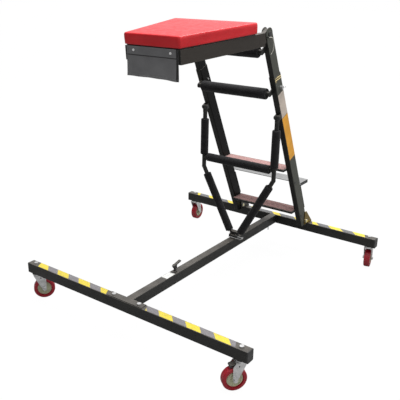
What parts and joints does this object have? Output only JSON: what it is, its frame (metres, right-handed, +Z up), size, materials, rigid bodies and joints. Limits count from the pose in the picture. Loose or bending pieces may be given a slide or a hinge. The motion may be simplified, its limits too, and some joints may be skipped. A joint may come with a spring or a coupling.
{
  "type": "topside creeper",
  "caption": "Topside mechanic creeper: padded platform on a leaning, height-adjustable ladder with steps and a V brace, over a wheeled steel base.",
  "frame": {"origin": "bottom centre of the whole object, on the floor under the middle of the base", "axes": "+Z up, -Y towards the front beam, +X to the user's right when facing the rear"},
  "size_m": [1.242, 1.4304, 1.3017],
  "materials": {
    "frame_black": "satin powder coat",
    "cap_black": "matte",
    "zinc": "zinc plated",
    "bolt_dark": "black oxide",
    "gusset": "yellow zinc",
    "step_grey": "satin",
    "tread_board": "satin",
    "tread_mat": "gritty",
    "foam": "soft matte",
    "red_vinyl": "soft sheen",
    "grey_vinyl": "soft sheen",
    "board_black": "painted",
    "tape_yellow": "satin",
    "panel_pale": "satin",
    "panel_amber": "satin",
    "wheel_red": "smooth",
    "hub_cream": "satin",
    "cord_wire": "coated wire"
  },
  "bodies": {
    "base": {"rear_beam": "frame_black", "rear_caps": "cap_black", "centre_beam": "frame_black", "foot_brackets": "gusset", "foot_bolts": "zinc", "apex_bracket": "frame_black", "latch_base": "bolt_dark", "centre_panel": "panel_pale", "rear_tape": "tape_yellow", "rear_fasteners": "zinc"},
    "front": {"front_beam": "frame_black", "front_caps": "cap_black", "front_stub": "frame_black", "tee_plate": "frame_black", "front_tape": "tape_yellow", "front_fasteners": "zinc"},
    "lever": {"latch_lever": "bolt_dark"},
    "ladder": {"outer_rails": "frame_black", "upper_tread": "tread_board", "lower_tread": "tread_board", "tread_mats": "tread_mat", "rear_step": "step_grey", "mid_bar": "frame_black", "mid_foam": "foam", "pale_panels": "panel_pale", "amber_panels": "panel_amber", "rail_bands": "tape_yellow", "rail_bolts": "bolt_dark", "brace_brackets": "bolt_dark"},
    "mast": {"inner_rails": "frame_black", "top_bar": "frame_black", "top_foam": "foam", "head_bolts": "bolt_dark", "lanyards": "cord_wire"},
    "pin_right": {"height_pin_right": "zinc"},
    "pin_left": {"height_pin_left": "zinc"},
    "platform": {"platform_frame": "frame_black", "board": "board_black", "cushion": "red_vinyl", "flap": "grey_vinyl", "snaps": "zinc"},
    "brace": {"brace_frame": "frame_black", "brace_foams": "foam"},
    "apex": {"apex_pin": "zinc"},
    "caster_front_right": {"fork_front_right": "zinc"},
    "wheel_front_right": {"hub_front_right": "hub_cream", "tread_front_right": "wheel_red"},
    "brake_front_right": {"pedal_front_right": "bolt_dark"},
    "caster_front_left": {"fork_front_left": "zinc"},
    "wheel_front_left": {"hub_front_left": "hub_cream", "tread_front_left": "wheel_red"},
    "brake_front_left": {"pedal_front_left": "bolt_dark"},
    "caster_rear_right": {"fork_rear_right": "zinc"},
    "wheel_rear_right": {"hub_rear_right": "hub_cream", "tread_rear_right": "wheel_red"},
    "brake_rear_right": {"pedal_rear_right": "bolt_dark"},
    "caster_rear_left": {"fork_rear_left": "zinc"},
    "wheel_rear_left": {"hub_rear_left": "hub_cream", "tread_rear_left": "wheel_red"},
    "brake_rear_left": {"pedal_rear_left": "bolt_dark"}
  },
  "joints": [
    {"name": "front_slide", "type": "slide", "parent": "base", "child": "front", "axis": [0, -1, 0], "range_m": [0, 0.12]},
    {"name": "latch_lever", "type": "hinge", "parent": "base", "child": "lever", "pos_m": [0, -0.31202, 0.2044], "axis": [1, 0, 0], "range_deg": [0, 60]},
    {"name": "ladder_fold", "type": "hinge", "parent": "base", "child": "ladder", "pos_m": [0, 0.58498, 0.205], "axis": [-1, 0, 0], "range_deg": [0, 25]},
    {"name": "height_slide", "type": "slide", "parent": "ladder", "child": "mast", "axis": [0, -0.4226, 0.9063], "range_m": [-0.05, 0.15]},
    {"name": "height_pin_right", "type": "slide", "parent": "ladder", "child": "pin_right", "axis": [1, 0, 0], "range_m": [0, 0.045]},
    {"name": "height_pin_left", "type": "slide", "parent": "ladder", "child": "pin_left", "axis": [-1, 0, 0], "range_m": [0, 0.045]},
    {"name": "platform_tilt", "type": "hinge", "parent": "mast", "child": "platform", "pos_m": [0, 0.08163, 1.24907], "axis": [-1, 0, 0], "range_deg": [0, 30]},
    {"name": "brace_swing", "type": "hinge", "parent": "ladder", "child": "brace", "pos_m": [0, 0.21393, 0.852], "axis": [1, 0, 0], "range_deg": [0, 20]},
    {"name": "apex_pull", "type": "slide", "parent": "base", "child": "apex", "axis": [1, 0, 0], "range_m": [0, 0.06]},
    {"name": "swivel_front_right", "type": "hinge", "parent": "front", "child": "caster_front_right", "pos_m": [0.582, -0.64652, 0.125], "axis": [0, 0, 1], "continuous": true},
    {"name": "roll_front_right", "type": "hinge", "parent": "caster_front_right", "child": "wheel_front_right", "pos_m": [0.56438, -0.66828, 0.05], "axis": [0.7771, -0.6293, 0], "continuous": true},
    {"name": "brake_front_right", "type": "hinge", "parent": "caster_front_right", "child": "brake_front_right", "pos_m": [0.57319, -0.6574, 0.11], "axis": [0.7771, -0.6293, 0], "range_deg": [0, 7]},
    {"name": "swivel_front_left", "type": "hinge", "parent": "front", "child": "caster_front_left", "pos_m": [-0.582, -0.64652, 0.125], "axis": [0, 0, 1], "continuous": true},
    {"name": "roll_front_left", "type": "hinge", "parent": "caster_front_left", "child": "wheel_front_left", "pos_m": [-0.56438, -0.62476, 0.05], "axis": [-0.7771, 0.6293, 0], "continuous": true},
    {"name": "brake_front_left", "type": "hinge", "parent": "caster_front_left", "child": "brake_front_left", "pos_m": [-0.57319, -0.63564, 0.11], "axis": [-0.7771, 0.6293, 0], "range_deg": [0, 7]},
    {"name": "swivel_rear_right", "type": "hinge", "parent": "base", "child": "caster_rear_right", "pos_m": [0.582, 0.63648, 0.125], "axis": [0, 0, 1], "continuous": true},
    {"name": "roll_rear_right", "type": "hinge", "parent": "caster_rear_right", "child": "wheel_rear_right", "pos_m": [0.57618, 0.66387, 0.05], "axis": [-0.9781, -0.2079, 0], "continuous": true},
    {"name": "brake_rear_right", "type": "hinge", "parent": "caster_rear_right", "child": "brake_rear_right", "pos_m": [0.57909, 0.65017, 0.11], "axis": [-0.9781, -0.2079, 0], "range_deg": [0, 7]},
    {"name": "swivel_rear_left", "type": "hinge", "parent": "base", "child": "caster_rear_left", "pos_m": [-0.582, 0.63648, 0.125], "axis": [0, 0, 1], "continuous": true},
    {"name": "roll_rear_left", "type": "hinge", "parent": "caster_rear_left", "child": "wheel_rear_left", "pos_m": [-0.58444, 0.66438, 0.05], "axis": [-0.9962, -0.0872, 0], "continuous": true},
    {"name": "brake_rear_left", "type": "hinge", "parent": "caster_rear_left", "child": "brake_rear_left", "pos_m": [-0.58322, 0.65043, 0.11], "axis": [-0.9962, -0.0872, 0], "range_deg": [0, 7]}
  ],
  "couplings": [
    {"joint": "brace_swing", "follows": "ladder_fold", "ratio": 0.8}
  ]
}
